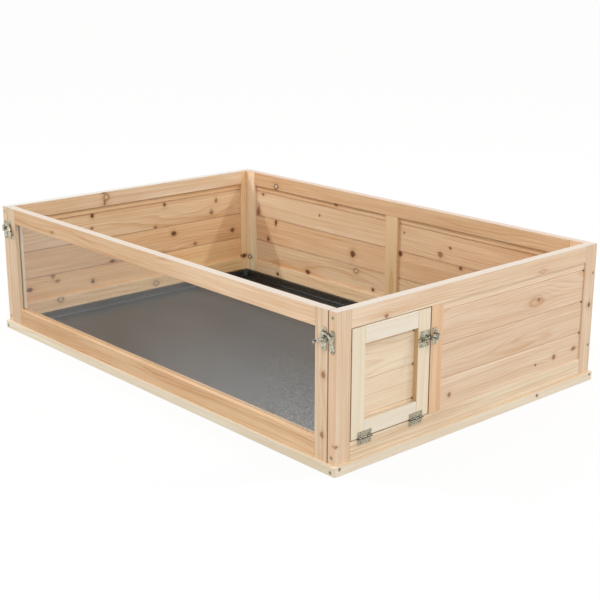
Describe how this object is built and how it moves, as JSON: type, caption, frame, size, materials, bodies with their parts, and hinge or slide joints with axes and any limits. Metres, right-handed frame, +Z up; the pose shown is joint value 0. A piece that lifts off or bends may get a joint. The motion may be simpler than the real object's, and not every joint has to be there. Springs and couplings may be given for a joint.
{
  "type": "indoor rodent enclosure",
  "caption": "Low open-topped wooden pet run with a clear lift-out front, a drop-down side door and a removable tray.",
  "frame": {"origin": "floor level under the middle of the walls", "axes": "+X to the right along the clear front, +Y from the front to the back, +Z up"},
  "size_m": [1.2042, 0.787, 0.3085],
  "materials": {
    "pine": "planed and unfinished",
    "pale_pine": "planed and unfinished",
    "plywood": "sanded",
    "acrylic": "clear gloss",
    "black_plastic": "gloss with a fine grain",
    "nickel_plate": "bright nickel plate",
    "screw_steel": "zinc plate"
  },
  "bodies": {
    "base": {"back_board_1": "pine", "back_board_2": "pine", "back_board_3": "pine", "back_board_4": "pine", "back_bottom_rail": "pine", "back_left_stile": "pine", "back_muntin": "pine", "back_right_stile": "pine", "back_top_rail": "pine", "base_sheet": "plywood", "bolt_keeper": "nickel_plate", "frame_hinge_leaves": "nickel_plate", "frame_screws": "screw_steel", "hardware_screws": "screw_steel", "hinge_pins": "nickel_plate", "left_board_1": "pine", "left_board_2": "pine", "left_board_3": "pine", "left_board_4": "pine", "left_bottom_rail": "pine", "left_front_stile": "pine", "left_latch_keeper": "nickel_plate", "left_rear_stile": "pine", "left_top_rail": "pine", "plinth_back": "pale_pine", "plinth_front": "pale_pine", "plinth_left": "pale_pine", "plinth_right": "pale_pine", "right_board_1": "pine", "right_board_2": "pine", "right_board_3": "pine", "right_board_4": "pine", "right_bottom_rail": "pine", "right_front_post": "pine", "right_latch_keeper": "nickel_plate", "right_middle_stile": "pine", "right_rear_stile": "pine", "right_top_rail": "pine"},
    "front_panel": {"left_latch_plate": "nickel_plate", "panel_bottom_rail": "pine", "panel_left_stile": "pine", "panel_pegs": "pine", "panel_right_stile": "pine", "panel_screws": "screw_steel", "panel_top_rail": "pine", "right_latch_plate": "nickel_plate", "window_pane": "acrylic"},
    "door": {"bolt_plate": "nickel_plate", "door_boards": "pale_pine", "door_bottom_rail": "pale_pine", "door_front_stile": "pale_pine", "door_hinge_leaves": "nickel_plate", "door_rear_stile": "pale_pine", "door_screws": "screw_steel", "door_top_rail": "pale_pine"},
    "bolt": {"door_bolt": "nickel_plate"},
    "right_latch": {"right_latch_claw": "nickel_plate"},
    "left_latch": {"left_latch_claw": "nickel_plate"},
    "tray": {"tray": "black_plastic"}
  },
  "joints": [
    {"name": "panel_lift", "type": "slide", "parent": "base", "child": "front_panel", "axis": [0, 0, 1], "range_m": [0, 0.32]},
    {"name": "tray_lift", "type": "slide", "parent": "base", "child": "tray", "axis": [0, 0, 1], "range_m": [0, 0.32]},
    {"name": "door_hinge", "type": "hinge", "parent": "base", "child": "door", "pos_m": [0.5924, -0.24275, 0.056], "axis": [0, 1, 0], "range_deg": [0, 105]},
    {"name": "bolt_slide", "type": "slide", "parent": "door", "child": "bolt", "axis": [0, 1, 0], "range_m": [0, 0.0145]},
    {"name": "right_latch_turn", "type": "hinge", "parent": "front_panel", "child": "right_latch", "pos_m": [0.559, -0.3875, 0.254], "axis": [0, -1, 0], "range_deg": [0, 90]},
    {"name": "left_latch_turn", "type": "hinge", "parent": "front_panel", "child": "left_latch", "pos_m": [-0.559, -0.3875, 0.254], "axis": [0, 1, 0], "range_deg": [0, 90]}
  ]
}
